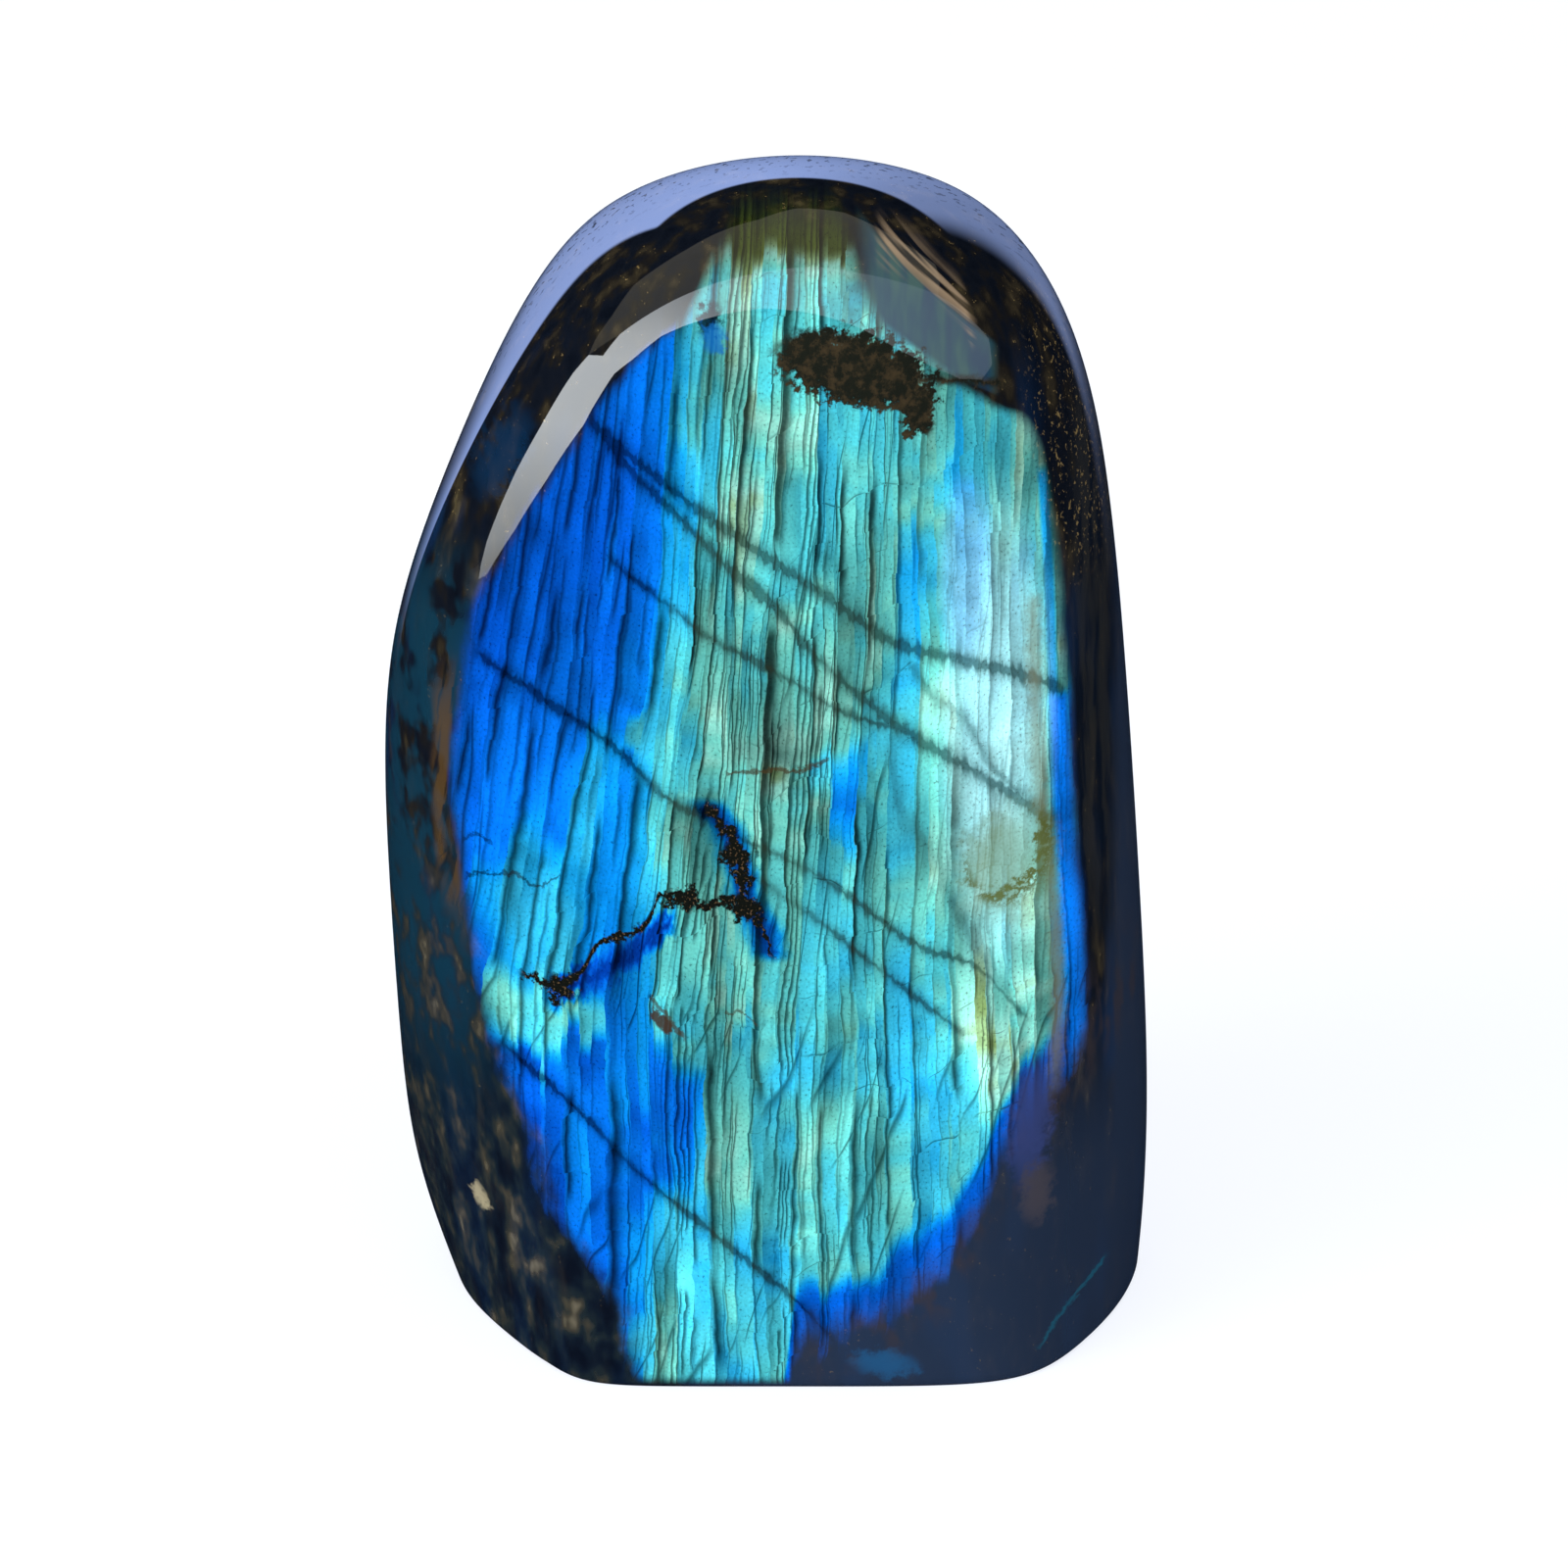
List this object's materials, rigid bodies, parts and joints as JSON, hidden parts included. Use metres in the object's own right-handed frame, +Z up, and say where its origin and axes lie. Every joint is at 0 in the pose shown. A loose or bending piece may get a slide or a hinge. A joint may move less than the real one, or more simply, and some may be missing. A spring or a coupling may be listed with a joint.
{
  "type": "polished labradorite freeform",
  "caption": "Upright polished stone with a broad blue and teal flashing front, softly ground flats and a flat cut base to stand on.",
  "frame": {"origin": "middle of the cut base, on the surface that the stone stands on", "axes": "+Z up the stone's long axis, +Y from the flashing front to the back, +X to the right of the front"},
  "size_m": [0.0624, 0.043, 0.0972],
  "materials": {
    "polished_labradorite": "polished"
  },
  "bodies": {
    "root": {"labradorite": "polished_labradorite"}
  },
  "joints": []
}
